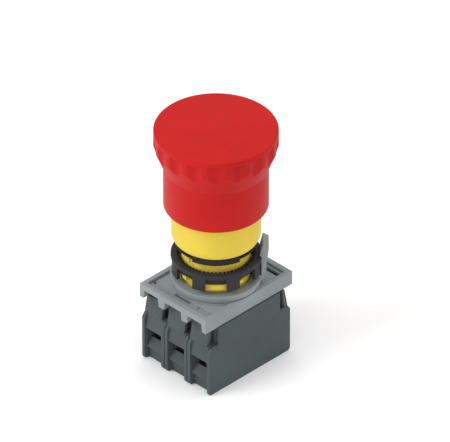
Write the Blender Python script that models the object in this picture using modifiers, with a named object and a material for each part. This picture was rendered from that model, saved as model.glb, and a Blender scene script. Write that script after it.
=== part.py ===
"""Emergency stop button for a 22 mm panel hole.

A mushroom head on a stem slides in a yellow sleeve, a ring nut and a gasket hold the sleeve in the panel,
and an adapter with a lever ring carries three contact blocks. The button's axis is Z, through the origin,
and the blocks stand on Z = 0. Every piece is an object of its own, and moving pieces turn about their origins.
"""
import math

import bmesh
import bpy
from mathutils import Matrix

MM = 0.001
GAP = 0.3 * MM                      # running gap between neighbouring pieces

# Mushroom head
HEAD_TOP = 88.6 * MM
HEAD_RADIUS = 20.0 * MM
RIM_TOP = 87.95 * MM
RIM_BOTTOM = 81.9 * MM
SKIRT_RADIUS = 16.9 * MM
SKIRT_TOP = 74.05 * MM
SKIRT_BOTTOM = 59.1 * MM
SKIRT_BORE = 14.9 * MM
GRIP_COUNT = 18
GRIP_PHASE = math.radians(15)
GRIP_TOP = 86.4 * MM
GRIP_DEPTH = 0.7 * MM
GRIP_CUTTER_RADIUS = 4.8 * MM

# Stem and pusher
STEM_RADIUS = 3.2 * MM
STEM_BOTTOM = 35.8 * MM
SPRING_FLANGE_TOP = 75.4 * MM
PUSHER_BOTTOM = 33.0 * MM
PUSHER_RADIUS = 9.6 * MM
PUSHER_HUB_TOP = 40.0 * MM

# Sleeve and barrel, one moulding
SLEEVE_RADIUS = 14.44 * MM
SLEEVE_TOP = 68.0 * MM
SLEEVE_BORE = 12.9 * MM
LIP_BOTTOM = 45.6 * MM
BARREL_RADIUS = 11.1 * MM
BARREL_BORE = 9.9 * MM
BARREL_BOTTOM = 26.5 * MM
WEB_BOTTOM = 44.0 * MM
SEAL_SEAT = 46.4 * MM
WEB_TOP = 48.0 * MM

# Panel fixing
GASKET_TOP = LIP_BOTTOM - GAP
GASKET_BOTTOM = 44.6 * MM
GASKET_LUG_BOTTOM = 43.7 * MM
NUT_RADIUS = 14.6 * MM
NUT_TOP = 40.3 * MM
NUT_BOTTOM = 34.3 * MM
NUT_WINDOWS = 8
FRONT = math.radians(-45)           # direction of the gasket lug and of the first nut window

# Adapter plate and lever ring
ADAPTER_HALF_X = 14.9 * MM
ADAPTER_HALF_Y = 19.6 * MM
ADAPTER_TOP = 30.0 * MM
ADAPTER_PLATE_TOP = 29.1 * MM
ADAPTER_PLATE_BOTTOM = 25.0 * MM
HOOK_BOTTOM = 25.0 * MM
ARM_WINDOW_TOP = 28.0 * MM
LOCK_RING_RADIUS = 14.75 * MM
LOCK_RING_TOP = 32.3 * MM
LEVER_TOP = 45.1 * MM

# Contact blocks
BLOCKS = {"left": -1, "centre": 0, "right": 1}
BLOCK_PITCH = 10.3 * MM
BLOCK_HALF_WIDTH = 5.0 * MM
BLOCK_HALF_DEPTH = 18.37 * MM
BLOCK_TOP = 24.7 * MM
SHOULDER = 17.6 * MM
ARM_NEAR_SIDE = 2.6 * MM            # the front arm reaches X = 2.6 mm, the rear arm X = -2.6 mm
ARM_FAR_SIDE = 4.9 * MM
ARM_TIP_SIDE = 3.3 * MM             # the arms are narrower where they pass into the adapter
ARM_SLOT_BACK = 13.8 * MM
ARM_TOP = 27.7 * MM
COVER_THICKNESS = 1.2 * MM
TERMINAL_Y = 11.5 * MM
ACCESS_RADIUS = 3.0 * MM
SHANK_RADIUS = 1.3 * MM
SCREW_TIP = 13.0 * MM
POST_OFFSET = -2.3 * MM
POST_TOP = PUSHER_BOTTOM - GAP


def plastic(name, color, roughness=0.45, metallic=0.0):
    """A plain Principled material."""
    material = bpy.data.materials.new(name)
    material.use_nodes = True
    shader = material.node_tree.nodes["Principled BSDF"]
    shader.inputs["Base Color"].default_value = (*color, 1.0)
    shader.inputs["Roughness"].default_value = roughness
    shader.inputs["Metallic"].default_value = metallic
    return material


def link(name, mesh, material, collection):
    """Put a mesh into the scene as a named, smooth shaded object."""
    piece = bpy.data.objects.new(name, mesh)
    collection.objects.link(piece)
    mesh.materials.clear()
    if material:
        mesh.materials.append(material)
    return piece


def turned(name, profile, material, collection, steps=48, hollow=True):
    """Turn (radius, height) points about Z: down the outside and, if hollow, back up the bore."""
    shape = bmesh.new()
    corners = [shape.verts.new((radius, 0, height)) for radius, height in profile]
    for first, second in zip(corners, corners[1:]):
        shape.edges.new((first, second))
    if hollow:
        shape.edges.new((corners[-1], corners[0]))
    mesh = bpy.data.meshes.new(name)
    shape.to_mesh(mesh)
    shape.free()
    piece = link(name, mesh, material, collection)
    screw = piece.modifiers.new("Turn", "SCREW")
    screw.steps = steps
    screw.render_steps = steps
    screw.use_merge_vertices = True
    screw.merge_threshold = 0.00001
    return piece


def add_box(shape, x_range, y_range, z_range, turn=0.0):
    """Add a box to a bmesh, turned about Z by an angle."""
    spans = [(high - low) for low, high in (x_range, y_range, z_range)]
    centre = [(high + low) / 2 for low, high in (x_range, y_range, z_range)]
    matrix = Matrix.Rotation(turn, 4, "Z") @ Matrix.Translation(centre) @ Matrix.Diagonal((*spans, 1))
    bmesh.ops.create_cube(shape, size=1.0, matrix=matrix)


def add_drum(shape, radius, x, y, z_range, sides=16):
    """Add an upright cylinder to a bmesh."""
    low, high = z_range
    bmesh.ops.create_cone(shape, cap_ends=True, segments=sides, radius1=radius, radius2=radius,
                          depth=high - low, matrix=Matrix.Translation((x, y, (low + high) / 2)))


def solid(name, shape, material, collection):
    """Finish a bmesh as an object."""
    mesh = bpy.data.meshes.new(name)
    shape.to_mesh(mesh)
    shape.free()
    return link(name, mesh, material, collection)


def finished_mesh(piece):
    """The mesh that a piece's modifiers or curve make, in place of the piece."""
    view = bpy.context.evaluated_depsgraph_get()
    mesh = bpy.data.meshes.new_from_object(piece.evaluated_get(view))
    shape = bmesh.new()
    shape.from_mesh(mesh)
    bmesh.ops.remove_doubles(shape, verts=shape.verts, dist=0.000005)
    shape.to_mesh(mesh)
    shape.free()
    bpy.data.objects.remove(piece)
    return mesh


def extruded(name, outline, x_range, material, collection):
    """A prism whose outline is given as (y, z) points and which runs along X."""
    low, high = x_range
    curve = bpy.data.curves.new(name, "CURVE")
    curve.dimensions = "2D"
    curve.fill_mode = "BOTH"
    curve.extrude = (high - low) / 2
    spline = curve.splines.new("POLY")
    spline.points.add(len(outline) - 1)
    for point, (y, z) in zip(spline.points, outline):
        point.co = (y, z, 0, 1)
    spline.use_cyclic_u = True
    guide = bpy.data.objects.new(name, curve)
    collection.objects.link(guide)
    mesh = finished_mesh(guide)
    upright = Matrix(((0, 0, 1, (low + high) / 2), (1, 0, 0, 0), (0, 1, 0, 0), (0, 0, 0, 1)))
    mesh.transform(upright)
    return link(name, mesh, material, collection)


def boolean(piece, tool, operation="DIFFERENCE"):
    """Cut or join a piece with a tool that is hidden afterwards."""
    change = piece.modifiers.new(tool.name, "BOOLEAN")
    change.operation = operation
    change.object = tool
    tool.hide_render = True
    tool.display_type = "WIRE"


def coil(name, radius, wire, z_range, turns, material, collection, points=10):
    """A compression spring with filled ends, as a bevelled curve along Z."""
    low, high = z_range
    count = int(turns * points)
    curve = bpy.data.curves.new(name, "CURVE")
    curve.dimensions = "3D"
    curve.bevel_depth = wire
    curve.bevel_resolution = 1
    curve.use_fill_caps = True
    spline = curve.splines.new("POLY")
    spline.points.add(count)
    for index, point in enumerate(spline.points):
        angle = 2 * math.pi * index / points
        height = low + wire + (high - low - 2 * wire) * index / count
        point.co = (radius * math.cos(angle), radius * math.sin(angle), height, 1)
    guide = bpy.data.objects.new(name, curve)
    collection.objects.link(guide)
    return link(name, finished_mesh(guide), material, collection)


def mirrored(points):
    """Complete a (y, z) outline given for +Y with its image on the -Y side."""
    return points + [(-y, z) for y, z in reversed(points)]


def make_mushroom_cap(red, parts, cutters):
    """Red head: domed top, scalloped rim, taper and a skirt that slides over the sleeve."""
    profile = [
        (0, HEAD_TOP),
        (8.0 * MM, HEAD_TOP - 0.08 * MM),
        (15.0 * MM, HEAD_TOP - 0.28 * MM),
        (19.0 * MM, HEAD_TOP - 0.5 * MM),
        (19.7 * MM, RIM_TOP - 0.2 * MM),
        (HEAD_RADIUS, RIM_TOP - 0.8 * MM),
        (HEAD_RADIUS, RIM_BOTTOM),
        (SKIRT_RADIUS, SKIRT_TOP),
        (SKIRT_RADIUS, SKIRT_BOTTOM + 0.4 * MM),
        (SKIRT_RADIUS - 0.4 * MM, SKIRT_BOTTOM),
        (SKIRT_BORE, SKIRT_BOTTOM),
        (SKIRT_BORE, SKIRT_TOP + 0.6 * MM),
        (17.4 * MM, RIM_BOTTOM),
        (17.4 * MM, 85.4 * MM),
        (5.2 * MM, 85.9 * MM),
        (5.2 * MM, SPRING_FLANGE_TOP + GAP),
        (3.1 * MM, SPRING_FLANGE_TOP + GAP),
        (3.1 * MM, 84.0 * MM),
        (0, 84.0 * MM),
    ]
    cap = turned("mushroom_cap", profile, red, parts, steps=54, hollow=False)
    grips = bmesh.new()
    distance = HEAD_RADIUS - GRIP_DEPTH + GRIP_CUTTER_RADIUS
    for index in range(GRIP_COUNT):
        angle = GRIP_PHASE + 2 * math.pi * index / GRIP_COUNT
        add_drum(grips, GRIP_CUTTER_RADIUS, distance * math.cos(angle), distance * math.sin(angle),
                 (SKIRT_TOP, GRIP_TOP), sides=24)
    boolean(cap, solid("grip_cutter", grips, None, cutters))


def make_stem(black, steel, parts):
    """Stem between head and pusher, with a spring flange, a clip groove and its retaining ring."""
    profile = [
        (0, 83.7 * MM),
        (2.8 * MM, 83.7 * MM),
        (2.8 * MM, SPRING_FLANGE_TOP),
        (9.5 * MM, SPRING_FLANGE_TOP),
        (9.5 * MM, SPRING_FLANGE_TOP - 1.8 * MM),
        (STEM_RADIUS, SPRING_FLANGE_TOP - 1.8 * MM),
        (STEM_RADIUS, PUSHER_HUB_TOP + 1.4 * MM),
        (2.5 * MM, PUSHER_HUB_TOP + 1.4 * MM),
        (2.5 * MM, PUSHER_HUB_TOP),
        (STEM_RADIUS, PUSHER_HUB_TOP),
        (STEM_RADIUS, STEM_BOTTOM),
        (0, STEM_BOTTOM),
    ]
    turned("stem", profile, black, parts, steps=24, hollow=False)
    clip = [
        (4.7 * MM, PUSHER_HUB_TOP + 1.1 * MM),
        (4.7 * MM, PUSHER_HUB_TOP + GAP),
        (2.8 * MM, PUSHER_HUB_TOP + GAP),
        (2.8 * MM, PUSHER_HUB_TOP + 1.1 * MM),
    ]
    turned("stem_clip", clip, steel, parts, steps=24)


def make_pusher(black, parts):
    """Disc that the stem drives down onto the plungers of all three contact blocks."""
    bore = STEM_RADIUS + GAP
    profile = [
        (0, STEM_BOTTOM - GAP),
        (bore, STEM_BOTTOM - GAP),
        (bore, PUSHER_HUB_TOP),
        (5.2 * MM, PUSHER_HUB_TOP),
        (5.2 * MM, PUSHER_BOTTOM + 2 * MM),
        (PUSHER_RADIUS, PUSHER_BOTTOM + 2 * MM),
        (PUSHER_RADIUS, PUSHER_BOTTOM),
        (0, PUSHER_BOTTOM),
    ]
    turned("pusher", profile, black, parts, steps=36, hollow=False)


def make_sleeve(yellow, parts, cutters):
    """Yellow sleeve and threaded barrel in one, with a web that guides the stem and four bayonet lugs."""
    profile = [
        (SLEEVE_RADIUS, SLEEVE_TOP),
        (SLEEVE_RADIUS, 47.9 * MM),
        (14.0 * MM, 46.6 * MM),
        (SLEEVE_BORE, LIP_BOTTOM),
        (BARREL_RADIUS, LIP_BOTTOM),
        (BARREL_RADIUS, BARREL_BOTTOM),
        (BARREL_BORE, BARREL_BOTTOM),
        (BARREL_BORE, WEB_BOTTOM),
        (3.7 * MM, WEB_BOTTOM),
        (3.7 * MM, SEAL_SEAT),
        (6.4 * MM, SEAL_SEAT),
        (6.4 * MM, WEB_TOP),
        (11.4 * MM, WEB_TOP),
        (SLEEVE_BORE, 50.0 * MM),
        (SLEEVE_BORE, SLEEVE_TOP),
    ]
    sleeve = turned("sleeve", profile, yellow, parts, steps=48)
    lugs = bmesh.new()
    for index in range(4):
        add_box(lugs, (10.5 * MM, 12.9 * MM), (-2.6 * MM, 2.6 * MM), (34.0 * MM, 36.0 * MM),
                FRONT + index * math.pi / 2)
    boolean(sleeve, solid("lug_blank", lugs, None, cutters), "UNION")
    notch = bmesh.new()
    add_box(notch, (-1.2 * MM, 1.2 * MM), (-12.0 * MM, -10.5 * MM), (40.5 * MM, 44.2 * MM))
    boolean(sleeve, solid("key_notch_cutter", notch, None, cutters))


def make_stem_seal(rubber, parts):
    """Rubber ring round the stem in the web's seat."""
    profile = [
        (6.1 * MM, SEAL_SEAT + 2.3 * MM),
        (6.1 * MM, SEAL_SEAT + GAP),
        (3.5 * MM, SEAL_SEAT + GAP),
        (3.5 * MM, SEAL_SEAT + 2.3 * MM),
    ]
    turned("stem_seal", profile, rubber, parts, steps=24)


def make_latch(black, steel, parts, cutters):
    """Ring below the web with two radial pins that snap behind the stem."""
    middle = WEB_BOTTOM - 1.5 * MM
    profile = [
        (9.6 * MM, WEB_BOTTOM - GAP),
        (9.6 * MM, WEB_BOTTOM - 2.7 * MM),
        (5.0 * MM, WEB_BOTTOM - 2.7 * MM),
        (5.0 * MM, WEB_BOTTOM - GAP),
    ]
    ring = turned("latch_ring", profile, black, parts, steps=36)
    holes = bmesh.new()
    add_box(holes, (-9.0 * MM, 9.0 * MM), (-0.9 * MM, 0.9 * MM), (middle - 0.9 * MM, middle + 0.9 * MM))
    boolean(ring, solid("latch_hole_cutter", holes, None, cutters))
    for name, side in (("latch_pin_left", -1), ("latch_pin_right", 1)):
        pin = bmesh.new()
        lay = Matrix.Translation((side * 5.4 * MM, 0, middle)) @ Matrix.Rotation(math.pi / 2, 4, "Y")
        bmesh.ops.create_cone(pin, cap_ends=True, segments=12, radius1=0.6 * MM, radius2=0.6 * MM,
                              depth=3.8 * MM, matrix=lay)
        solid(name, pin, steel, parts)


def make_panel_gasket(rubber, parts, cutters):
    """Flat rubber ring under the sleeve's lip, with a thicker stretch at the front."""
    profile = [
        (13.3 * MM, GASKET_TOP),
        (13.3 * MM, GASKET_LUG_BOTTOM),
        (BARREL_RADIUS + GAP, GASKET_LUG_BOTTOM),
        (BARREL_RADIUS + GAP, GASKET_TOP),
    ]
    gasket = turned("panel_gasket", profile, rubber, parts, steps=48)
    relief = bmesh.new()
    add_box(relief, (-15 * MM, 10.9 * MM), (-15 * MM, 15 * MM), (43 * MM, GASKET_BOTTOM), FRONT)
    boolean(gasket, solid("gasket_relief_cutter", relief, None, cutters))


def make_ring_nut(black, parts, cutters):
    """Black fixing ring: a flange above the bayonet lugs and a skirt with open windows."""
    profile = [
        (NUT_RADIUS - 0.6 * MM, NUT_TOP),
        (NUT_RADIUS, NUT_TOP - 0.6 * MM),
        (NUT_RADIUS, NUT_BOTTOM),
        (13.4 * MM, NUT_BOTTOM),
        (13.4 * MM, 36.4 * MM),
        (11.8 * MM, 36.4 * MM),
        (11.8 * MM, NUT_TOP),
    ]
    nut = turned("ring_nut", profile, black, parts, steps=48)
    windows = bmesh.new()
    for index in range(NUT_WINDOWS):
        add_box(windows, (12.7 * MM, 16 * MM), (-3.4 * MM, 3.4 * MM), (33 * MM, 39.0 * MM),
                FRONT + index * 2 * math.pi / NUT_WINDOWS)
    boolean(nut, solid("nut_window_cutter", windows, None, cutters))


def make_lock_ring(grey, parts, cutters):
    """Grey ring that locks the adapter to the barrel, turned by its upright lever."""
    low = ADAPTER_TOP + GAP
    profile = [
        (LOCK_RING_RADIUS - 0.3 * MM, LOCK_RING_TOP),
        (LOCK_RING_RADIUS, LOCK_RING_TOP - 0.3 * MM),
        (LOCK_RING_RADIUS, low),
        (BARREL_RADIUS + GAP, low),
        (BARREL_RADIUS + GAP, LOCK_RING_TOP - 0.5 * MM),
    ]
    ring = turned("lock_ring", profile, grey, parts, steps=48)
    foot = low + 1.2 * MM
    outline = [
        (14.9 * MM, LEVER_TOP),
        (12.0 * MM, foot),
        (15.5 * MM, foot),
        (16.9 * MM, LEVER_TOP - 1.1 * MM),
    ]
    lever = extruded("lever_blank", outline, (-3.6 * MM, 3.6 * MM), None, cutters)
    lever.data.transform(Matrix.Rotation(math.radians(-45), 4, "Z"))
    # The inner face follows the ring nut's outside so that the lever clears it.
    clearance = bmesh.new()
    add_drum(clearance, NUT_RADIUS + GAP, 0, 0, (33.2 * MM, LEVER_TOP + 1 * MM), sides=48)
    trim = solid("lever_clearance_cutter", clearance, None, cutters)
    boolean(lever, trim)
    boolean(ring, lever, "UNION")


def make_adapter(grey, parts, cutters):
    """Grey plate with a raised rim, hooks at both ends and windows for the blocks' latch arms."""
    body = bmesh.new()
    add_box(body, (-ADAPTER_HALF_X, ADAPTER_HALF_X), (-ADAPTER_HALF_Y, ADAPTER_HALF_Y), (HOOK_BOTTOM, ADAPTER_TOP))
    adapter = solid("adapter_plate", body, grey, parts)
    # A round boss under the lever ring is left standing in the recess, level with the rim.
    boss = bmesh.new()
    add_drum(boss, LOCK_RING_RADIUS, 0, 0, (28 * MM, 32 * MM), sides=48)
    recess = bmesh.new()
    add_box(recess, (-13.3 * MM, 13.3 * MM), (-17.6 * MM, 17.6 * MM), (ADAPTER_PLATE_TOP, 31 * MM))
    recess_cutter = solid("adapter_recess_cutter", recess, None, cutters)
    boolean(recess_cutter, solid("adapter_boss_cutter", boss, None, cutters))
    boolean(adapter, recess_cutter)
    channels = bmesh.new()
    for end in (-1, 1):
        reach = sorted((end * 13.0 * MM, end * 17.4 * MM))
        add_box(channels, (1 * MM - ADAPTER_HALF_X, ADAPTER_HALF_X - 1 * MM), reach, (24 * MM, ARM_WINDOW_TOP))
    boolean(adapter, solid("arm_channel_cutter", channels, None, cutters))
    bore = bmesh.new()
    add_drum(bore, BARREL_RADIUS + GAP, 0, 0, (22 * MM, 31 * MM), sides=48)
    boolean(adapter, solid("adapter_bore_cutter", bore, None, cutters))
    slots = bmesh.new()
    for side in BLOCKS.values():
        middle = side * BLOCK_PITCH
        for end in (-1, 1):
            reach = sorted((end * 14.4 * MM, end * 16.0 * MM))
            add_box(slots, (middle - 3.6 * MM, middle + 3.6 * MM), reach, (27 * MM, 31 * MM))
    boolean(adapter, solid("adapter_slot_cutter", slots, None, cutters))
    for name, side in BLOCKS.items():
        middle = side * BLOCK_PITCH
        outline = [
            (max(middle - 4.3 * MM, 1.2 * MM - ADAPTER_HALF_X), ADAPTER_PLATE_BOTTOM - 1 * MM),
            (min(middle + 4.3 * MM, ADAPTER_HALF_X - 1.2 * MM), ADAPTER_PLATE_BOTTOM - 1 * MM),
            (min(middle + 3.6 * MM, ADAPTER_HALF_X - 2 * MM), ARM_WINDOW_TOP),
            (max(middle - 3.6 * MM, 2 * MM - ADAPTER_HALF_X), ARM_WINDOW_TOP),
        ]
        for end, label in ((-1, "front"), (1, "rear")):
            reach = sorted((end * 17.2 * MM, end * 21 * MM))
            turned_outline = [(-x, z) for x, z in outline]
            window = extruded(f"arm_window_{name}_{label}", turned_outline, reach, None, cutters)
            window.data.transform(Matrix.Rotation(math.pi / 2, 4, "Z"))
            boolean(adapter, window)


def housing_mesh(collection, cutters):
    """Contact block housing about its own middle, open towards +X where the cover closes it."""
    outline = mirrored([
        (17.4 * MM, 0),
        (BLOCK_HALF_DEPTH, 1.0 * MM),
        (BLOCK_HALF_DEPTH, 16.2 * MM),
        (17.2 * MM, SHOULDER),
        (15.55 * MM, 25.9 * MM),
        (16.1 * MM, 26.4 * MM),
        (15.5 * MM, ARM_TOP),
        (14.5 * MM, ARM_TOP),
        (14.5 * MM, 26 * MM),
        (15.4 * MM, SHOULDER + 0.2 * MM),
        (ARM_SLOT_BACK, SHOULDER + 0.2 * MM),
        (ARM_SLOT_BACK, BLOCK_TOP),
    ])
    inner_face = BLOCK_HALF_WIDTH - COVER_THICKNESS - GAP
    housing = extruded("housing", outline, (-BLOCK_HALF_WIDTH, ARM_FAR_SIDE), None, collection)
    bay = bmesh.new()
    add_box(bay, (inner_face, 6 * MM), (-20 * MM, 20 * MM), (-1 * MM, SHOULDER + 0.5 * MM))
    boolean(housing, solid("cover_bay_cutter", bay, None, cutters))
    upper_bay = bmesh.new()
    add_box(upper_bay, (inner_face, 6 * MM), (-14.2 * MM, 14.2 * MM), (SHOULDER - 1 * MM, 29 * MM))
    boolean(housing, solid("upper_cover_bay_cutter", upper_bay, None, cutters))
    pocket = bmesh.new()
    add_box(pocket, (-3.8 * MM, 5 * MM), (-8 * MM, 8 * MM), (1.6 * MM, 20.8 * MM))
    boolean(housing, solid("cavity_cutter", pocket, None, cutters))
    post_slot = bmesh.new()
    add_box(post_slot, (-3.8 * MM, -0.7 * MM), (-2.4 * MM, 2.4 * MM), (20 * MM, 26 * MM))
    boolean(housing, solid("post_slot_cutter", post_slot, None, cutters))
    for end, label in ((-1, "front"), (1, "rear")):
        mouth = [
            (end * 20 * MM, 17.3 * MM),
            (end * 17.26 * MM, 17.3 * MM),
            (end * 18.0 * MM, 12.3 * MM),
            (end * 15.0 * MM, 12.3 * MM),
            (end * 15.0 * MM, 7.7 * MM),
            (end * 15.5 * MM, 7.7 * MM),
            (end * 17.7 * MM, 4.9 * MM),
            (end * 16.6 * MM, 3.9 * MM),
            (end * 16.3 * MM, -1 * MM),
            (end * 20 * MM, -1 * MM),
        ]
        if end > 0:
            mouth.reverse()
        boolean(housing, extruded(f"mouth_cutter_{label}", mouth, (-3.7 * MM, 5 * MM), None, cutters))
        tools = bmesh.new()
        reach = sorted((end * 8.6 * MM, end * 15.2 * MM))
        add_box(tools, (-3.4 * MM, 5 * MM), reach, (6.1 * MM, 12.3 * MM))
        boolean(housing, solid(f"chamber_cutter_{label}", tools, None, cutters))
        strip = bmesh.new()
        reach = sorted((end * 7 * MM, end * 14.4 * MM))
        add_box(strip, (-2.4 * MM, 5 * MM), reach, (12.1 * MM, 13.6 * MM))
        boolean(housing, solid(f"strip_cutter_{label}", strip, None, cutters))
        access = bmesh.new()
        add_drum(access, ACCESS_RADIUS, 0, end * TERMINAL_Y, (-1 * MM, 7 * MM))
        boolean(housing, solid(f"access_cutter_{label}", access, None, cutters))
        runout = bmesh.new()
        add_drum(runout, SHANK_RADIUS + GAP, 0, end * TERMINAL_Y, (13 * MM, 17.8 * MM))
        boolean(housing, solid(f"runout_cutter_{label}", runout, None, cutters))
        # The block looks the same turned half round, so the rear arm is shifted the other way.
        side = bmesh.new()
        free = sorted((-end * ARM_NEAR_SIDE, -end * 6 * MM))
        reach = sorted((end * ARM_SLOT_BACK, end * 20 * MM))
        add_box(side, free, reach, (SHOULDER + 0.2 * MM, 29 * MM))
        boolean(housing, solid(f"arm_side_cutter_{label}", side, None, cutters))
        tips = bmesh.new()
        for flank in (-1, 1):
            wide = sorted((flank * ARM_TIP_SIDE, flank * 6 * MM))
            add_box(tips, wide, reach, (BLOCK_TOP, 29 * MM))
        boolean(housing, solid(f"arm_tip_cutter_{label}", tips, None, cutters))
    return finished_mesh(housing)


def cover_mesh(collection):
    """Side cover of a contact block: its silhouette without the latch arms."""
    outline = mirrored([
        (17.4 * MM, 0),
        (BLOCK_HALF_DEPTH, 1.0 * MM),
        (BLOCK_HALF_DEPTH, 16.2 * MM),
        (17.2 * MM, SHOULDER + 0.2 * MM),
        (ARM_SLOT_BACK, SHOULDER + 0.2 * MM),
        (ARM_SLOT_BACK, BLOCK_TOP),
    ])
    span = (BLOCK_HALF_WIDTH - COVER_THICKNESS, BLOCK_HALF_WIDTH)
    return finished_mesh(extruded("cover", outline, span, None, collection))


def plunger_mesh(collection, cutters):
    """Plunger: a carriage with a window for the contact bridge, and an offset post up to the pusher."""
    body = bmesh.new()
    add_box(body, (-2.8 * MM, 2.8 * MM), (-3.2 * MM, 3.2 * MM), (10 * MM, 19 * MM))
    plunger = solid("plunger", body, None, collection)
    post = bmesh.new()
    add_box(post, (POST_OFFSET - 1.2 * MM, POST_OFFSET + 1.2 * MM), (-2 * MM, 2 * MM), (18 * MM, POST_TOP))
    boolean(plunger, solid("post_blank", post, None, cutters), "UNION")
    window = bmesh.new()
    add_box(window, (-2.2 * MM, 2.2 * MM), (-5 * MM, 5 * MM), (11.1 * MM, 16.5 * MM))
    boolean(plunger, solid("bridge_window_cutter", window, None, cutters))
    return finished_mesh(plunger)


def bridge_mesh(collection):
    """Contact bridge: a copper alloy bar through the plunger's window."""
    bar = bmesh.new()
    add_box(bar, (-1.9 * MM, 1.9 * MM), (-7.4 * MM, 7.4 * MM), (11.4 * MM, 12.2 * MM))
    return finished_mesh(solid("bridge", bar, None, collection))


def fixed_contact_mesh(collection, cutters):
    """Fixed contact: a strip from over the bridge's end to the terminal screw, for the +Y end."""
    strip = bmesh.new()
    add_box(strip, (-2 * MM, 2 * MM), (5 * MM, 14 * MM), (12.5 * MM, 13.3 * MM))
    contact = solid("fixed_contact", strip, None, collection)
    thread = bmesh.new()
    add_drum(thread, SHANK_RADIUS + GAP, 0, TERMINAL_Y, (12 * MM, 14 * MM))
    boolean(contact, solid("contact_thread_cutter", thread, None, cutters))
    return finished_mesh(contact)


def clamp_mesh(collection, cutters):
    """Terminal clamp: a square plate that the screw lifts against the wire, about the screw's axis."""
    plate = bmesh.new()
    add_box(plate, (-2.7 * MM, 2.7 * MM), (-2.2 * MM, 2.2 * MM), (6.4 * MM, 7.5 * MM))
    clamp = solid("clamp", plate, None, collection)
    hole = bmesh.new()
    add_drum(hole, SHANK_RADIUS + GAP, 0, 0, (6 * MM, 8 * MM))
    boolean(clamp, solid("clamp_hole_cutter", hole, None, cutters))
    return finished_mesh(clamp)


def screw_mesh(collection, cutters):
    """Terminal screw about its axis: slotted head under the clamp, shank up through the fixed contact."""
    profile = [
        (0, SCREW_TIP),
        (SHANK_RADIUS, SCREW_TIP),
        (SHANK_RADIUS, 6.1 * MM),
        (2.3 * MM, 6.1 * MM),
        (2.3 * MM, 4.3 * MM),
        (0, 4.3 * MM),
    ]
    screw = turned("screw", profile, None, collection, steps=16, hollow=False)
    slot = bmesh.new()
    add_box(slot, (-3 * MM, 3 * MM), (-0.35 * MM, 0.35 * MM), (3.5 * MM, 5.1 * MM))
    boolean(screw, solid("screw_slot_cutter", slot, None, cutters))
    return finished_mesh(screw)


def make_blocks(materials, parts, cutters):
    """Three equal contact blocks side by side; the left one is turned round so its cover faces out."""
    shapes = {
        "housing": (housing_mesh(parts, cutters), "housing"),
        "cover": (cover_mesh(parts), "housing"),
        "plunger": (plunger_mesh(parts, cutters), "black"),
        "bridge": (bridge_mesh(parts), "brass"),
    }
    contact = fixed_contact_mesh(parts, cutters)
    clamp = clamp_mesh(parts, cutters)
    screw = screw_mesh(parts, cutters)
    for name, side in BLOCKS.items():
        holder = bpy.data.objects.new(f"block_{name}", None)
        parts.objects.link(holder)
        holder.location.x = side * BLOCK_PITCH
        holder.rotation_euler.z = math.pi if side < 0 else 0.0
        pieces = [link(f"{kind}_{name}", mesh.copy(), materials[slot], parts)
                  for kind, (mesh, slot) in shapes.items()]
        pieces.append(coil(f"plunger_spring_{name}", 1.9 * MM, 0.22 * MM, (1.9 * MM, 9.7 * MM), 5,
                           materials["steel"], parts, points=8))
        pieces.append(coil(f"contact_spring_{name}", 1.3 * MM, 0.2 * MM, (12.5 * MM, 16.2 * MM), 3,
                           materials["steel"], parts, points=8))
        for end, label in ((-1, "front"), (1, "rear")):
            flip = -1 if side < 0 else 1
            strip = link(f"fixed_contact_{name}_{label}", contact.copy(), materials["brass"], parts)
            strip.rotation_euler.z = 0.0 if end * flip > 0 else math.pi
            plate = link(f"clamp_{name}_{label}", clamp.copy(), materials["steel"], parts)
            bolt = link(f"terminal_screw_{name}_{label}", screw.copy(), materials["steel"], parts)
            plate.location.y = end * flip * TERMINAL_Y
            bolt.location.y = end * flip * TERMINAL_Y
            pieces += [strip, plate, bolt]
        for piece in pieces:
            piece.parent = holder


def smooth(parts):
    """Shade round faces smooth and keep real edges sharp."""
    for piece in parts.objects:
        if piece.type == "MESH":
            piece.data.shade_smooth()
            piece.data.set_sharp_from_angle(angle=math.radians(35))


def main():
    for old in list(bpy.data.objects):
        bpy.data.objects.remove(old)
    parts = bpy.data.collections.new("emergency_stop_button")
    cutters = bpy.data.collections.new("cutters")
    bpy.context.scene.collection.children.link(parts)
    bpy.context.scene.collection.children.link(cutters)
    materials = {
        "red": plastic("red", (0.55, 0.022, 0.022), 0.4),
        "yellow": plastic("yellow", (0.83, 0.62, 0.075), 0.4),
        "black": plastic("black", (0.05, 0.048, 0.053), 0.5),
        "rubber": plastic("rubber", (0.03, 0.03, 0.032), 0.7),
        "grey": plastic("grey", (0.35, 0.375, 0.35), 0.5),
        "housing": plastic("housing", (0.1, 0.12, 0.125), 0.55),
        "brass": plastic("brass", (0.72, 0.5, 0.2), 0.3, 1.0),
        "steel": plastic("steel", (0.6, 0.6, 0.62), 0.3, 1.0),
    }
    make_mushroom_cap(materials["red"], parts, cutters)
    make_stem(materials["black"], materials["steel"], parts)
    make_pusher(materials["black"], parts)
    make_sleeve(materials["yellow"], parts, cutters)
    make_stem_seal(materials["rubber"], parts)
    make_latch(materials["black"], materials["steel"], parts, cutters)
    make_panel_gasket(materials["rubber"], parts, cutters)
    make_ring_nut(materials["black"], parts, cutters)
    make_lock_ring(materials["grey"], parts, cutters)
    make_adapter(materials["grey"], parts, cutters)
    coil("return_spring", 7.2 * MM, 0.6 * MM, (WEB_TOP + GAP, SPRING_FLANGE_TOP - 1.8 * MM - GAP), 6,
         materials["steel"], parts, points=14)
    make_blocks(materials, parts, cutters)
    smooth(parts)
    bpy.context.view_layer.update()


main()
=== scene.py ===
import math

import bmesh
import bpy
from mathutils import Matrix, Vector


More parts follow.
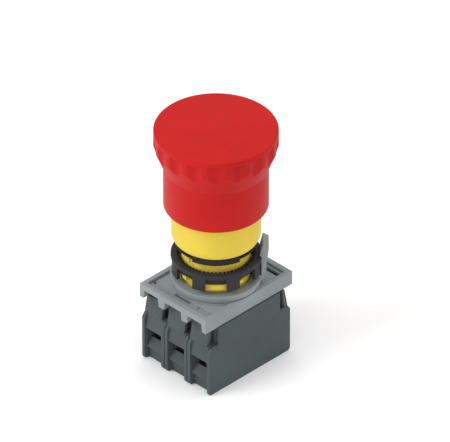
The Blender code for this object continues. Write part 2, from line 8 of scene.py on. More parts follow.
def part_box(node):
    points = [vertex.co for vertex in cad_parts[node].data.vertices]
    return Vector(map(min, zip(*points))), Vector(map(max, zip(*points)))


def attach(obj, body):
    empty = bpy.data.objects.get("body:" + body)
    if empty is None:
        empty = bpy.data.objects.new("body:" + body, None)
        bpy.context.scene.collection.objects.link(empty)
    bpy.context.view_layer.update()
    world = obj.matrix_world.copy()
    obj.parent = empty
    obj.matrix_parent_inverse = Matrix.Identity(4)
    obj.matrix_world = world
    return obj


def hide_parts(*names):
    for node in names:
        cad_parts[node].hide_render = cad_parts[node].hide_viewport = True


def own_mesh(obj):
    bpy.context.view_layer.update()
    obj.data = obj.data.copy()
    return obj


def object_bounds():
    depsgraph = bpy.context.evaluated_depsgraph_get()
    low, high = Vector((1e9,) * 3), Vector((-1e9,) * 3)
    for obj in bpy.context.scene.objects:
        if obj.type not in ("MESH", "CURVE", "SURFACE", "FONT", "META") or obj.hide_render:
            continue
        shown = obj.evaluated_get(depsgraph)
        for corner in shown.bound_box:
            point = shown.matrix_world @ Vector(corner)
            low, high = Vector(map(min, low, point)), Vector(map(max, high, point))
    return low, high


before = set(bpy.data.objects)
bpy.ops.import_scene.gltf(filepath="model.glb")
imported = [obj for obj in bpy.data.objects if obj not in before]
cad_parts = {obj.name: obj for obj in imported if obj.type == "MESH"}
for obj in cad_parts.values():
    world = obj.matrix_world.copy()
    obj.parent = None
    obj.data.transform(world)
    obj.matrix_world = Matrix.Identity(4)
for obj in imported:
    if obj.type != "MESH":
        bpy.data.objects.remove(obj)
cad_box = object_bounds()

# ---------------------------------------------------------------- studio
# A white table under soft light, seen from above one corner through a very long lens,
# so that the button stands as in an isometric drawing. Nothing here belongs to the button.
mm = 0.001
cad_low, cad_high = (Vector(corner) for corner in cad_box)
button_height = cad_high.z - cad_low.z
view_azimuth = math.radians(45)
view_elevation = math.radians(35.264)
view_width = 143.6 * mm
lens = 1000
sensor = 36
toward_camera = Vector((math.sin(view_azimuth) * math.cos(view_elevation),
                        -math.cos(view_azimuth) * math.cos(view_elevation),
                        math.sin(view_elevation)))
camera_right = Vector((math.cos(view_azimuth), math.sin(view_azimuth), 0))
aim = Vector((0, 0, button_height * 0.587)) + camera_right * 2.85 * mm
camera = bpy.data.objects.new("camera", bpy.data.cameras.new("camera"))
camera.data.lens = lens
camera.data.sensor_width = sensor
camera.data.clip_end = 20
camera.location = aim + toward_camera * (view_width * lens / sensor)
camera.rotation_euler = toward_camera.to_track_quat("Z", "Y").to_euler()
bpy.context.scene.collection.objects.link(camera)
bpy.context.scene.camera = camera
bpy.context.scene.view_settings.view_transform = "Standard"


def soft_light(name, power, place, size):
    """A square studio lamp that looks at the middle of the button."""
    lamp = bpy.data.objects.new(name, bpy.data.lights.new(name, "AREA"))
    lamp.data.energy = power
    lamp.data.size = size
    lamp.location = place
    lamp.rotation_euler = (Vector(place) - aim).to_track_quat("Z", "Y").to_euler()
    bpy.context.scene.collection.objects.link(lamp)


soft_light("key_lamp", 2.5, (-0.25, -0.55, 0.55), 0.35)
soft_light("top_lamp", 1.2, (0.1, 0.1, 0.8), 0.5)
room = bpy.data.worlds.new("room")
room.use_nodes = True
room.node_tree.nodes["Background"].inputs["Color"].default_value = (1, 1, 1, 1)
room.node_tree.nodes["Background"].inputs["Strength"].default_value = 0.88
bpy.context.scene.world = room

table_shape = bmesh.new()
bmesh.ops.create_grid(table_shape, x_segments=1, y_segments=1, size=3)
table_mesh = bpy.data.meshes.new("table")
table_shape.to_mesh(table_mesh)
table_shape.free()
table = bpy.data.objects.new("table", table_mesh)
table_finish = bpy.data.materials.new("white_table")
table_finish.use_nodes = True
table_finish.node_tree.nodes["Principled BSDF"].inputs["Base Color"].default_value = (0.98, 0.98, 0.98, 1)
table_finish.node_tree.nodes["Principled BSDF"].inputs["Roughness"].default_value = 0.9
table_mesh.materials.append(table_finish)
bpy.context.scene.collection.objects.link(table)


# ---------------------------------------------------------- mushroom head
# The palm-sized head is injection moulded in red plastic: a low dome, a rim with scallops
# for the fingers, a taper and a skirt that slides over the yellow sleeve. It snaps on the stem.
def moulded_plastic(name, colour, roughness, grain=1800, grain_depth=0.02, mottle=0.06):
    """Moulded plastic: fine spark-eroded grain, faint flow mottle and uneven gloss."""
    material = bpy.data.materials.new(name)
    material.use_nodes = True
    nodes = material.node_tree.nodes
    links = material.node_tree.links
    shader = nodes["Principled BSDF"]
    shader.inputs["Specular IOR Level"].default_value = 0.1
    place = nodes.new("ShaderNodeTexCoord")
    flow = nodes.new("ShaderNodeTexNoise")
    flow.inputs["Scale"].default_value = 90
    flow.inputs["Detail"].default_value = 4
    links.new(place.outputs["Object"], flow.inputs["Vector"])
    tint = nodes.new("ShaderNodeValToRGB")
    tint.color_ramp.elements[0].position = 0.3
    tint.color_ramp.elements[1].position = 0.7
    tint.color_ramp.elements[0].color = (*[part * (1 - mottle) for part in colour], 1)
    tint.color_ramp.elements[1].color = (*[min(1, part * (1 + mottle)) for part in colour], 1)
    links.new(flow.outputs["Fac"], tint.inputs["Fac"])
    links.new(tint.outputs["Color"], shader.inputs["Base Color"])
    gloss = nodes.new("ShaderNodeMapRange")
    gloss.inputs["To Min"].default_value = roughness - 0.06
    gloss.inputs["To Max"].default_value = roughness + 0.06
    smudge = nodes.new("ShaderNodeTexNoise")
    smudge.inputs["Scale"].default_value = 260
    smudge.inputs["Detail"].default_value = 3
    links.new(place.outputs["Object"], smudge.inputs["Vector"])
    links.new(smudge.outputs["Fac"], gloss.inputs["Value"])
    links.new(gloss.outputs["Result"], shader.inputs["Roughness"])
    speckle = nodes.new("ShaderNodeTexNoise")
    speckle.inputs["Scale"].default_value = grain
    speckle.inputs["Detail"].default_value = 5
    links.new(place.outputs["Object"], speckle.inputs["Vector"])
    relief = nodes.new("ShaderNodeBump")
    relief.inputs["Strength"].default_value = 0.6
    relief.inputs["Distance"].default_value = grain_depth * mm
    links.new(speckle.outputs["Fac"], relief.inputs["Height"])
    links.new(relief.outputs["Normal"], shader.inputs["Normal"])
    return material


def eased(corners, closed=True, segments=4):
    """Turn (x, y, radius) corners into an outline whose corners are rounded with arcs."""
    outline = []
    for index, (x, y, radius) in enumerate(corners):
        here = Vector((x, y))
        if radius == 0 or (not closed and index in (0, len(corners) - 1)):
            outline.append(here)
            continue
        back = Vector(corners[index - 1][:2]) - here
        ahead = Vector(corners[(index + 1) % len(corners)][:2]) - here
        half = back.angle(ahead) / 2
        reach = min(radius / math.tan(half), back.length * 0.48, ahead.length * 0.48)
        back.normalize()
        ahead.normalize()
        centre = here + (back + ahead).normalized() * (reach / math.cos(half))
        first = here + back * reach - centre
        last = here + ahead * reach - centre
        start = math.atan2(first.y, first.x)
        sweep = math.atan2(first.x * last.y - first.y * last.x, first.dot(last))
        outline += [centre + Vector((math.cos(start + sweep * step / segments),
                                     math.sin(start + sweep * step / segments))) * first.length
                    for step in range(segments + 1)]
    return outline


def spun(outline, steps=240, start=0.0, sweep=2 * math.pi, closed=True):
    """Spin a (radius, height) outline in millimetres about the button's axis; a part turn gets end faces."""
    shape = bmesh.new()
    corners = [shape.verts.new((point[0] * mm, 0, point[1] * mm)) for point in outline]
    pairs = list(zip(corners, corners[1:]))
    if closed:
        pairs.append((corners[-1], corners[0]))
    edges = [shape.edges.new(pair) for pair in pairs]
    full = sweep > 6.28
    if not full:
        bmesh.ops.contextual_create(shape, geom=edges)
    bmesh.ops.spin(shape, geom=shape.verts[:] + shape.edges[:] + shape.faces[:], axis=(0, 0, 1),
                   cent=(0, 0, 0), angle=sweep, steps=steps, use_merge=full, use_duplicate=False)
    bmesh.ops.remove_doubles(shape, verts=shape.verts, dist=0.000002)
    bmesh.ops.rotate(shape, verts=shape.verts, matrix=Matrix.Rotation(start, 3, "Z"))
    bmesh.ops.recalc_face_normals(shape, faces=shape.faces)
    return shape


def as_piece(shape, name):
    """Put a finished bmesh in the scene under a piece's name."""
    mesh = bpy.data.meshes.new(name)
    shape.to_mesh(mesh)
    shape.free()
    piece = bpy.data.objects.new(name, mesh)
    bpy.context.scene.collection.objects.link(piece)
    return piece


def dress(piece, material, crease=32):
    """Give a piece its material and smooth shading with crisp corners."""
    piece.data.materials.clear()
    piece.data.materials.append(material)
    piece.data.shade_smooth()
    piece.data.set_sharp_from_angle(angle=math.radians(crease))
    return piece


red_plastic = moulded_plastic("red_plastic", (0.47, 0.010, 0.009), 0.5, grain=1400)
cap_low, cap_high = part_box("mushroom_cap")
head_radius = cap_high[0] / mm
head_top = cap_high[2] / mm
skirt_bottom = cap_low[2] / mm
rim_bottom = head_top - 6.7
skirt_top = head_top - 14.55
skirt_radius = head_radius - 3.1
grip_count = 18
grip_top = head_top - 2.2
grip_phase = math.radians(15)
grip_reach = head_radius + 3.95
grip_curve = 4.8
dome = [(radius, head_top - 0.55 * (radius / 19) ** 2) for radius in (0, 3, 6, 9, 12, 15, 17, 18.2)]
shoulder = eased([(18.6, head_top - 0.50, 0), (head_radius, head_top - 0.60, 0.5),
                  (head_radius, grip_top, 0)], closed=False, segments=7)
rim_wall = [(head_radius, grip_top - 0.12 - (grip_top - 0.12 - rim_bottom) * step / 22) for step in range(23)]
taper = [(head_radius - (head_radius - skirt_radius) * step / 30,
          rim_bottom - (rim_bottom - skirt_top) * step / 30) for step in range(1, 30)]
skirt_bore = 14.9
rim_bore = 17.4
hub_radius = 5.2
hub_bottom = head_top - 12.9
socket_radius = 3.1
socket_top = head_top - 4.6
skirt = eased([(skirt_radius + 0.8, skirt_top + 2, 0), (skirt_radius, skirt_top, 1.5),
               (skirt_radius, skirt_bottom, 0.45), (skirt_bore, skirt_bottom, 0.3),
               (skirt_bore, skirt_top + 0.6, 0.6), (rim_bore, rim_bottom, 0.6),
               (rim_bore, head_top - 3.2, 1.0), (hub_radius, head_top - 2.7, 0.4),
               (hub_radius, hub_bottom, 0.2), (socket_radius, hub_bottom, 0.2),
               (socket_radius, socket_top, 0), (0, socket_top, 0)], closed=False)
taper = [point for point in taper if point[1] > skirt_top + 2.05]
cap_shape = spun(dome + [tuple(point) for point in shoulder] + rim_wall + taper
                 + [tuple(point) for point in skirt], steps=360, closed=False)
for vertex in cap_shape.verts:
    radius = math.hypot(vertex.co.x, vertex.co.y) / mm
    height = vertex.co.z / mm
    if height > grip_top - 0.1 or height < skirt_top or radius < head_radius - 2.5:
        continue
    turn = (math.atan2(vertex.co.y, vertex.co.x) - grip_phase) % (2 * math.pi / grip_count)
    turn = min(turn, 2 * math.pi / grip_count - turn)
    across = grip_reach * math.sin(turn)
    if across < grip_curve:
        floor = grip_reach * math.cos(turn) - math.sqrt(grip_curve ** 2 - across ** 2)
        softness = 0.03
        eased_radius = -softness * math.log(math.exp(-min(radius - head_radius, 0) / softness)
                                            + math.exp(-(floor - head_radius) / softness)) + head_radius
        new_radius = min(radius, eased_radius) if floor < radius + 0.3 else radius
        vertex.co.x *= new_radius / radius
        vertex.co.y *= new_radius / radius
mushroom_head = dress(as_piece(cap_shape, "mushroom_head"), red_plastic, crease=40)
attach(mushroom_head, "head")
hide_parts("mushroom_cap")

# ------------------------------------------------------- sleeve and barrel
# The yellow body is one moulding: a sleeve that warns by its colour, a lip that rests on the panel
# through the gasket, a barrel that passes the hole, a key notch and bayonet lugs for the ring nut.
yellow_plastic = moulded_plastic("yellow_plastic", (0.70, 0.535, 0.062), 0.45, grain=1300)
sleeve_low, sleeve_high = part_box("sleeve")
sleeve_radius = sleeve_high[0] / mm
sleeve_top = sleeve_high[2] / mm
barrel_bottom = sleeve_low[2] / mm
gasket_low, gasket_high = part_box("panel_gasket")
lip_bottom = gasket_high[2] / mm + 0.3
barrel_radius = 11.1
front = math.radians(-45)
sleeve_bore = 12.9
barrel_bore = 9.9
groove_radius = barrel_radius - 0.3
web_bottom = 44.0
seal_seat = 46.4
seal_radius = 6.4
web_top = 48.0
stem_hole = 3.7
sleeve_outline = eased([
    (sleeve_radius, sleeve_top, 0.5), (sleeve_radius, lip_bottom + 2.6, 1.2), (13.9, lip_bottom + 1.2, 1.0),
    (12.7, lip_bottom, 0.3), (barrel_radius, lip_bottom, 0), (barrel_radius, 41.5, 0),
    (groove_radius, 41.3, 0), (groove_radius, 40.9, 0), (barrel_radius, 40.7, 0),
    (barrel_radius, barrel_bottom, 0.4), (barrel_bore, barrel_bottom, 0.2), (barrel_bore, web_bottom, 0.2),
    (stem_hole, web_bottom, 0.2), (stem_hole, seal_seat, 0.1), (seal_radius, seal_seat, 0.1),
    (seal_radius, web_top, 0.2), (sleeve_bore - 1.5, web_top, 0.5), (sleeve_bore, web_top + 2, 1.0),
    (sleeve_bore, sleeve_top, 0.4)], segments=6)
sleeve = as_piece(spun(sleeve_outline), "yellow_sleeve")


def settle(piece):
    """Make what a piece's modifiers show its real mesh."""
    graph = bpy.context.evaluated_depsgraph_get()
    mesh = bpy.data.meshes.new_from_object(piece.evaluated_get(graph))
    piece.modifiers.clear()
    piece.data = mesh


def carve(piece, tool_shape, operation="DIFFERENCE"):
    """Cut a tool's shape out of a piece, or weld it on, and drop the tool."""
    tool = as_piece(tool_shape, "tool")
    change = piece.modifiers.new("carve", "BOOLEAN")
    change.operation = operation
    change.object = tool
    settle(piece)
    bpy.data.objects.remove(tool)


def block_shape(x_range, y_range, z_range, turn=0.0):
    """A box given by its ranges in millimetres, turned about the button's axis."""
    shape = bmesh.new()
    ranges = (x_range, y_range, z_range)
    spans = [(high - low) * mm for low, high in ranges]
    middle = [(high + low) / 2 * mm for low, high in ranges]
    bmesh.ops.create_cube(shape, size=1, matrix=Matrix.Rotation(turn, 4, "Z") @ Matrix.Translation(middle)
                          @ Matrix.Diagonal((*spans, 1)))
    return shape


def ring_sector(outline, middle, half_angle, steps=40):
    """Part of a ring, centred on a direction."""
    return spun(outline, steps=steps, start=middle - half_angle, sweep=2 * half_angle)


notch_half = math.radians(36)
notch_radius = 12.45
notch_top = lip_bottom + 0.65
carve(sleeve, ring_sector([(notch_radius, lip_bottom - 1), (16, lip_bottom - 1), (16, notch_top),
                           (notch_radius, notch_top)], front, notch_half))
carve(sleeve, block_shape((-1.2, 1.2), (-12, -10.5), (40.5, 44.2)))
lug_root = barrel_radius - 0.6
lug_radius = 13.0
lug_bottom = 34.0
lug_top = 36.0
hook_radius = 12.9
for quarter in range(4):
    lug = eased([(lug_root, lug_bottom, 0), (lug_radius, lug_bottom, 0.2), (lug_radius, lug_top, 0.2),
                 (lug_root, lug_top, 0)])
    carve(sleeve, ring_sector(lug, front + quarter * math.pi / 2, math.radians(13), 16), "UNION")
    hook = eased([(lug_root, lug_bottom + 0.8, 0), (hook_radius, lug_bottom + 0.8, 0.2),
                  (hook_radius, lug_top, 0.2), (lug_root, lug_top, 0)])
    carve(sleeve, ring_sector(hook, front + (quarter + 0.42) * math.pi / 2, math.radians(4), 6), "UNION")
dress(sleeve, yellow_plastic)
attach(sleeve, "body")
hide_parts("sleeve")

# ------------------------------------------------------------ panel gasket
# A soft rubber ring seals the panel hole under the lip. Its thick stretch at the front fills the
# notch in the lip and keys the button in the panel; it is moulded in one with the ring.
black_rubber = moulded_plastic("black_rubber", (0.022, 0.021, 0.023), 0.68, grain=1000, grain_depth=0.03)
seal_low = 44.6
seal_high = lip_bottom - 0.3
lug_low = gasket_low[2] / mm
gasket_bore = barrel_radius + 0.3
gasket_radius = 13.3
stretch_radius = 13.45
gasket = as_piece(spun(eased([
    (gasket_bore, seal_low, 0.1), (gasket_radius, seal_low, 0.25), (gasket_radius, seal_high, 0.25),
    (gasket_bore, seal_high, 0.1)])), "rubber_gasket")
thick_stretch = eased([(gasket_bore + 0.1, lug_low, 0.15), (stretch_radius, lug_low, 0.4),
                       (stretch_radius, lip_bottom + 0.4, 0.3), (notch_radius + 0.2, lip_bottom + 0.4, 0.1),
                       (notch_radius + 0.2, seal_high, 0), (gasket_bore + 0.1, seal_high, 0)])
carve(gasket, ring_sector(thick_stretch, front, notch_half - math.radians(1.5)), "UNION")
dress(gasket, black_rubber)
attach(gasket, "body")
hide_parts("panel_gasket")

# --------------------------------------------------------------- ring nut
# The black fixing ring clamps the panel from behind. It is glass-filled plastic with fine teeth
# round its top inner edge and eight open windows in its skirt, where the bayonet lugs show.
black_plastic = moulded_plastic("black_plastic", (0.035, 0.033, 0.037), 0.5, grain=900, grain_depth=0.035)
nut_low, nut_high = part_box("ring_nut")
nut_bottom = nut_low[2] / mm
nut_top = nut_high[2] / mm
nut_radius = nut_high[0] / mm
nut_bore = 13.4
neck_bore = 12.2
neck_bottom = 36.4
nut = as_piece(spun(eased([
    (nut_radius, nut_top, 0.55), (nut_radius, nut_bottom, 0.2), (nut_bore, nut_bottom, 0.2),
    (nut_bore, neck_bottom, 0.2), (neck_bore, neck_bottom, 0.1), (neck_bore, nut_top - 0.5, 0),
    (neck_bore + 0.5, nut_top, 0.1)])), "fixing_ring")
window_count = 8
for index in range(window_count):
    carve(nut, block_shape((12.75, 16), (-3.4, 3.4), (nut_bottom - 1, nut_top - 1.3),
                           front + index * 2 * math.pi / window_count))


def ease_edges(piece, width, segments=2, angle=30):
    """Round a piece's sharp edges, as a mould does."""
    bevel = piece.modifiers.new("ease", "BEVEL")
    bevel.width = width * mm
    bevel.segments = segments
    bevel.limit_method = "ANGLE"
    bevel.angle_limit = math.radians(angle)
    bevel.use_clamp_overlap = True
    settle(piece)


ease_edges(nut, 0.14)
tooth_count = 56
teeth = bmesh.new()
for index in range(tooth_count):
    turn = index * 2 * math.pi / tooth_count
    bmesh.ops.create_cube(teeth, size=1, matrix=Matrix.Rotation(turn, 4, "Z") @ Matrix.Translation(
        (11.9 * mm, 0, (nut_top - 1.75) * mm)) @ Matrix.Diagonal((0.9 * mm, 0.62 * mm, 3.2 * mm, 1)))
bmesh.ops.bevel(teeth, geom=teeth.edges, offset=0.1 * mm, segments=1, affect="EDGES", profile=0.5,
                material=-1)
teeth.from_mesh(nut.data)
teeth.to_mesh(nut.data)
teeth.free()
dress(nut, black_plastic)
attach(nut, "ring_nut")
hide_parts("ring_nut")

# -------------------------------------------------------------- lock ring
# The grey ring turns on the adapter and locks it to the barrel. A tall lever, moulded in one with
# it, leans outward past the fixing ring so that a thumb can reach it behind the panel.
grey_plastic = moulded_plastic("grey_plastic", (0.255, 0.278, 0.292), 0.5, grain=1100, grain_depth=0.025)
ring_low, ring_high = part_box("lock_ring")
ring_bottom = ring_low[2] / mm
ring_top = ring_bottom + 2.0
ring_radius = 14.75
lever_top = ring_high[2] / mm
lock_bore = barrel_radius + 0.3
lock_ring = as_piece(spun(eased([
    (ring_radius, ring_top, 0.3), (ring_radius, ring_bottom, 0.1), (lock_bore, ring_bottom, 0.1),
    (lock_bore, ring_top, 0.2)])), "lever_ring")


def pushed(corners, push):
    """Push a flat outline of (x, y, z) corners in millimetres into a solid."""
    shape = bmesh.new()
    outline = [shape.verts.new([value * mm for value in corner]) for corner in corners]
    side = shape.faces.new(outline)
    pulled = bmesh.ops.extrude_face_region(shape, geom=[side])
    bmesh.ops.translate(shape, vec=[value * mm for value in push],
                        verts=[item for item in pulled["geom"] if isinstance(item, bmesh.types.BMVert)])
    bmesh.ops.recalc_face_normals(shape, faces=shape.faces)
    return shape


def drum(radius, bottom, top, steps):
    """A solid drum about the button's axis, in millimetres."""
    return spun([(0, bottom), (radius, bottom), (radius, top), (0, top)], steps=steps, closed=False)


def shape_of(piece):
    """Take a piece out of the scene and hand back its shape."""
    shape = bmesh.new()
    shape.from_mesh(piece.data)
    bpy.data.objects.remove(piece)
    return shape


lever_foot = ring_bottom + 1.2
lever_half_width = 3.6
lever_clearance = nut_radius + 0.3
lever_outline = [(16.9, lever_top - 1.1, 0.4), (14.9, lever_top, 0.3), (13.9, nut_top + 0.3, 0),
                 (12.0, lever_foot, 0), (15.4, lever_foot, 0)]
lever = pushed([(point.x, -lever_half_width, point.y) for point in eased(lever_outline, segments=5)],
               (0, 2 * lever_half_width, 0))
bmesh.ops.rotate(lever, verts=lever.verts, matrix=Matrix.Rotation(math.radians(45), 3, "Z"))
lever_blank = as_piece(lever, "lever_blank")
carve(lever_blank, drum(lever_clearance, 33.2, nut_top + 0.3, 120))
carve(lock_ring, shape_of(lever_blank), "UNION")
ease_edges(lock_ring, 0.15, angle=40)
dress(lock_ring, grey_plastic)
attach(lock_ring, "lock_ring")
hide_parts("lock_ring")

# ---------------------------------------------------------------- adapter
# The grey adapter carries the contact blocks. It is one moulded plate with a rim on four sides,
# a round boss under the lever ring, slots above the blocks' latch arms, and legs between those arms.
plate_low, plate_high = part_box("adapter_plate")
half_x = plate_high[0] / mm
half_y = plate_high[1] / mm
rim_top = plate_high[2] / mm
leg_bottom = plate_low[2] / mm
floor_top = rim_top - 0.9
adapter = as_piece(block_shape((-half_x, half_x), (-half_y, half_y), (leg_bottom, rim_top)), "adapter")
side_rim = half_x - 1.6
end_rim = half_y - 2.0
floor_recess = as_piece(block_shape((-side_rim, side_rim), (-end_rim, end_rim), (floor_top, 40)),
                        "floor_recess")
carve(floor_recess, drum(ring_radius, 20, 50, 200))
carve(adapter, shape_of(floor_recess))
channel_top = rim_top - 2.0
channel_start = 13.0
channel_end = 17.4
for end in (-1, 1):
    channel = sorted((end * channel_start, end * channel_end))
    carve(adapter, block_shape((1 - half_x, half_x - 1), channel, (20, channel_top)))
carve(adapter, drum(barrel_radius + 0.3, 20, 40, 160))
block_pitch = 10.3
window_foot = 4.3
window_head = 3.6
foot_limit = half_x - 1.2
head_limit = half_x - 2
slot_limit = half_x - 1.8
front_slot = (-15.6, -14.4)
rear_slot = (15.0, 16.6)
for column in (-1, 0, 1):
    middle = column * block_pitch
    for end in (-1, 1):
        window = [(max(middle - window_foot, -foot_limit), 22), (min(middle + window_foot, foot_limit), 22),
                  (min(middle + window_head, head_limit), channel_top),
                  (max(middle - window_head, -head_limit), channel_top)]
        carve(adapter, pushed([(x, end * (channel_end - 0.2), z) for x, z in window], (0, end * 8, 0)))
        shallow = (column, end) == (1, -1)
        short = (column, end) == (-1, -1)
        slot_floor = rim_top - (1.4 if shallow else 3)
        slot_half = 1.0 if short else window_head
        slot_middle = middle - (2.5 if short else 0)
        slot_ends = (max(slot_middle - slot_half, -slot_limit), min(slot_middle + slot_half, slot_limit))
        carve(adapter, block_shape(slot_ends, front_slot if end < 0 else rear_slot, (slot_floor, 40)))
ease_edges(adapter, 0.2)
dress(adapter, grey_plastic)
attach(adapter, "body")
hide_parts("adapter_plate")

# ---------------------------------------------------------- contact blocks
# Three equal screw-terminal blocks clip under the adapter by sprung arms at both ends. Each is a
# dark grey housing, open on one side for its contacts, and closed by a cover clipped flush into it.
dark_plastic = moulded_plastic("dark_grey_plastic", (0.075, 0.090, 0.092), 0.55, grain=800, grain_depth=0.03)
block_half_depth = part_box("housing_right")[1][1] / mm
arm_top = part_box("housing_right")[1][2] / mm
block_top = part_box("cover_right")[1][2] / mm
shoulder_height = 17.6
arm_slot_back = 13.8
arm_near_side = 2.6
arm_far_side = 4.9
arm_tip_side = 3.3
half_width = 5.0
cover_thickness = 1.2
terminal_y = 11.5
access_radius = 3.0
shank_clearance = 1.6


def prism(outline, x_range):
    """Push a (y, z) outline in millimetres along X into a solid."""
    return pushed([(x_range[0], y, z) for y, z in outline], (x_range[1] - x_range[0], 0, 0))


def both_ends(corners):
    """Complete an outline given for the rear end with its image at the front end."""
    return corners + [(-y, z, radius) for y, z, radius in reversed(corners)]


def make_housing():
    """One housing about its own middle, with its terminals, arms and cavity."""
    outline = eased(both_ends([
        (block_half_depth, 0, 1.2), (block_half_depth, 16.2, 0.5), (17.2, shoulder_height, 0.4),
        (15.55, 25.9, 0), (16.1, 26.4, 0.2), (15.5, arm_top, 0.2), (14.5, arm_top, 0.2), (14.5, 26, 0),
        (15.4, shoulder_height + 0.2, 0.2), (arm_slot_back, shoulder_height + 0.2, 0.2),
        (arm_slot_back, block_top, 0.2)]), segments=4)
    housing = as_piece(prism(outline, (-half_width, arm_far_side)), "housing")
    cover_seam = half_width - cover_thickness - 0.3
    carve(housing, block_shape((cover_seam, 6), (-20, 20), (-1, shoulder_height + 0.5)))
    carve(housing, block_shape((cover_seam, 6), (-14.2, 14.2), (shoulder_height - 1, 29)))
    carve(housing, block_shape((-3.8, 5), (-8, 8), (1.6, 20.8)))
    carve(housing, block_shape((-3.8, -0.7), (-2.4, 2.4), (20, 26)))
    for end in (-1, 1):
        mouth = [(20, 17.3), (17.26, 17.3), (18.0, 12.3), (15.0, 12.3), (15.0, 7.7), (15.5, 7.7),
                 (17.7, 4.9), (16.6, 3.9), (16.3, -1), (20, -1)]
        carve(housing, prism([(end * y, z) for y, z in mouth], (-3.7, 5)))
        carve(housing, block_shape((-3.4, 5), sorted((end * 8.6, end * 15.2)), (6.1, 12.3)))
        carve(housing, block_shape((-2.4, 5), sorted((end * 7, end * 14.4)), (12.1, 13.6)))
        for radius, bottom, top in ((access_radius, -1, 7), (shank_clearance, 12, 17.8)):
            hole = drum(radius, bottom, top, 48)
            bmesh.ops.translate(hole, verts=hole.verts, vec=(0, end * terminal_y * mm, 0))
            carve(housing, hole)
        arm_reach = sorted((end * arm_slot_back, end * 20))
        free_side = sorted((-end * arm_near_side, -end * 6))
        carve(housing, block_shape(free_side, arm_reach, (shoulder_height + 0.2, 29)))
        for flank in (-1, 1):
            carve(housing, block_shape(sorted((flank * arm_tip_side, flank * 6)), arm_reach, (block_top, 29)))
    ease_edges(housing, 0.16)
    return housing


def make_cover():
    """One cover about the middle of its block: the housing's outline without its arms."""
    outline = eased(both_ends([
        (block_half_depth, 0, 1.2), (block_half_depth, 16.2, 0.5), (17.2, shoulder_height + 0.2, 0.3),
        (arm_slot_back, shoulder_height + 0.2, 0.3), (arm_slot_back, block_top, 0.3)]), segments=4)
    cover = as_piece(prism(outline, (half_width - cover_thickness, half_width)), "cover")
    ease_edges(cover, 0.16)
    return cover


housing_master = make_housing()
cover_master = make_cover()
for column, place in ((-1, "left"), (0, "centre"), (1, "right")):
    turn = Matrix.Rotation(math.pi if column < 0 else 0, 4, "Z")
    shift = Matrix.Translation((column * block_pitch * mm, 0, 0))
    for master, kind in ((housing_master, "housing"), (cover_master, "cover")):
        mesh = master.data.copy()
        mesh.transform(shift @ turn)
        piece = bpy.data.objects.new(f"block_{kind}_{place}", mesh)
        bpy.context.scene.collection.objects.link(piece)
        dress(piece, dark_plastic)
        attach(piece, "body")
        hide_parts(f"{kind}_{place}")
bpy.data.objects.remove(housing_master)
bpy.data.objects.remove(cover_master)


# ---------------------------------------------------------------- springs
# Round steel wire coils: one large return spring under the stem's flange, and in each block a
# plunger spring and a small contact spring. The coils are wound with closed, flattened ends.
def plated_metal(name, colour, roughness, scratch=700):
    """Drawn or pressed metal: fine scratches and an uneven sheen."""
    material = bpy.data.materials.new(name)
    material.use_nodes = True
    nodes = material.node_tree.nodes
    links = material.node_tree.links
    shader = nodes["Principled BSDF"]
    shader.inputs["Metallic"].default_value = 1
    place = nodes.new("ShaderNodeTexCoord")
    stretch = nodes.new("ShaderNodeMapping")
    stretch.inputs["Scale"].default_value = (1, 1, 8)
    links.new(place.outputs["Object"], stretch.inputs["Vector"])
    scratches = nodes.new("ShaderNodeTexNoise")
    scratches.inputs["Scale"].default_value = scratch
    scratches.inputs["Detail"].default_value = 6
    links.new(stretch.outputs["Vector"], scratches.inputs["Vector"])
    tint = nodes.new("ShaderNodeValToRGB")
    tint.color_ramp.elements[0].color = (*[part * 0.82 for part in colour], 1)
    tint.color_ramp.elements[1].color = (*colour, 1)
    links.new(scratches.outputs["Fac"], tint.inputs["Fac"])
    links.new(tint.outputs["Color"], shader.inputs["Base Color"])
    gloss = nodes.new("ShaderNodeMapRange")
    gloss.inputs["To Min"].default_value = roughness - 0.08
    gloss.inputs["To Max"].default_value = roughness + 0.1
    links.new(scratches.outputs["Fac"], gloss.inputs["Value"])
    links.new(gloss.outputs["Result"], shader.inputs["Roughness"])
    relief = nodes.new("ShaderNodeBump")
    relief.inputs["Strength"].default_value = 0.4
    relief.inputs["Distance"].default_value = 0.01 * mm
    links.new(scratches.outputs["Fac"], relief.inputs["Height"])
    links.new(relief.outputs["Normal"], shader.inputs["Normal"])
    return material


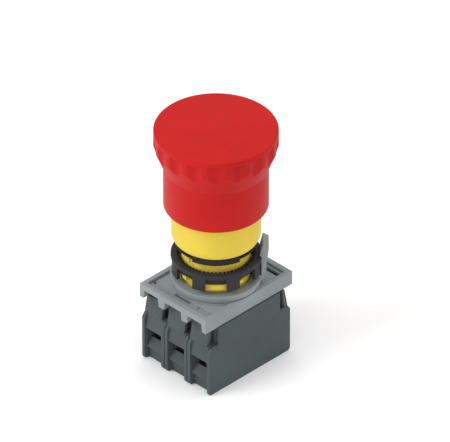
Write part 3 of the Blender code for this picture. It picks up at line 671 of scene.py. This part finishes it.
def wound_spring(name, node, radius, wire, turns):
    """Wind a coil into the space of its CAD node."""
    low, high = (Vector(corner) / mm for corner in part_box(node))
    middle = (low + high) / 2
    points = 28
    count = int(turns * points)
    curve = bpy.data.curves.new(name, "CURVE")
    curve.dimensions = "3D"
    curve.bevel_depth = wire * mm
    curve.bevel_resolution = 3
    curve.use_fill_caps = True
    spline = curve.splines.new("POLY")
    spline.points.add(count)
    rise = high.z - low.z - 2 * wire
    for index, point in enumerate(spline.points):
        share = index / count
        closed_ends = share - 0.11 * math.sin(2 * math.pi * share)
        angle = 2 * math.pi * index / points
        point.co = ((middle.x + radius * math.cos(angle)) * mm, (middle.y + radius * math.sin(angle)) * mm,
                    (low.z + wire + rise * closed_ends) * mm, 1)
    guide = bpy.data.objects.new("spring_guide", curve)
    bpy.context.scene.collection.objects.link(guide)
    graph = bpy.context.evaluated_depsgraph_get()
    mesh = bpy.data.meshes.new_from_object(guide.evaluated_get(graph))
    bpy.data.objects.remove(guide)
    spring = bmesh.new()
    spring.from_mesh(mesh)
    bmesh.ops.remove_doubles(spring, verts=spring.verts, dist=0.000001)
    bmesh.ops.recalc_face_normals(spring, faces=spring.faces)
    return as_piece(spring, name)


spring_steel = plated_metal("spring_steel", (0.55, 0.55, 0.57), 0.28)
return_spring = dress(wound_spring("return_coil", "return_spring", 7.2, 0.6, 6), spring_steel)
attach(return_spring, "body")
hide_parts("return_spring")
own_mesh(return_spring)
for place in ("left", "centre", "right"):
    coil = dress(wound_spring(f"plunger_coil_{place}", f"plunger_spring_{place}", 1.9, 0.22, 5), spring_steel)
    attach(coil, "body")
    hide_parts(f"plunger_spring_{place}")
    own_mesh(coil)
    small = dress(wound_spring(f"contact_coil_{place}", f"contact_spring_{place}", 1.3, 0.2, 3), spring_steel)
    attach(small, f"plunger_{place}")
    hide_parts(f"contact_spring_{place}")

# ----------------------------------------------------------- inner pieces
# The turned and pressed pieces inside keep their plain shapes: stem, pusher and plungers in black
# acetal, seal in rubber, bridges and fixed contacts in brass strip, screws, clamps and pins in plated steel.
brass_strip = plated_metal("brass_strip", (0.72, 0.50, 0.20), 0.3, scratch=500)
plated_steel = plated_metal("plated_steel", (0.60, 0.60, 0.61), 0.32, scratch=600)
carried_finishes = {
    "stem": black_plastic, "pusher": black_plastic, "latch_ring": black_plastic, "stem_seal": black_rubber,
    "stem_clip": spring_steel, "latch_pin": plated_steel, "plunger": black_plastic, "bridge": brass_strip,
    "fixed_contact": brass_strip, "clamp": plated_steel, "terminal_screw": plated_steel,
}
for node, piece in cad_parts.items():
    if piece.hide_render:
        continue
    kind = max((start for start in carried_finishes if node.startswith(start)), key=len)
    for slot in piece.material_slots:
        slot.material = carried_finishes[kind]
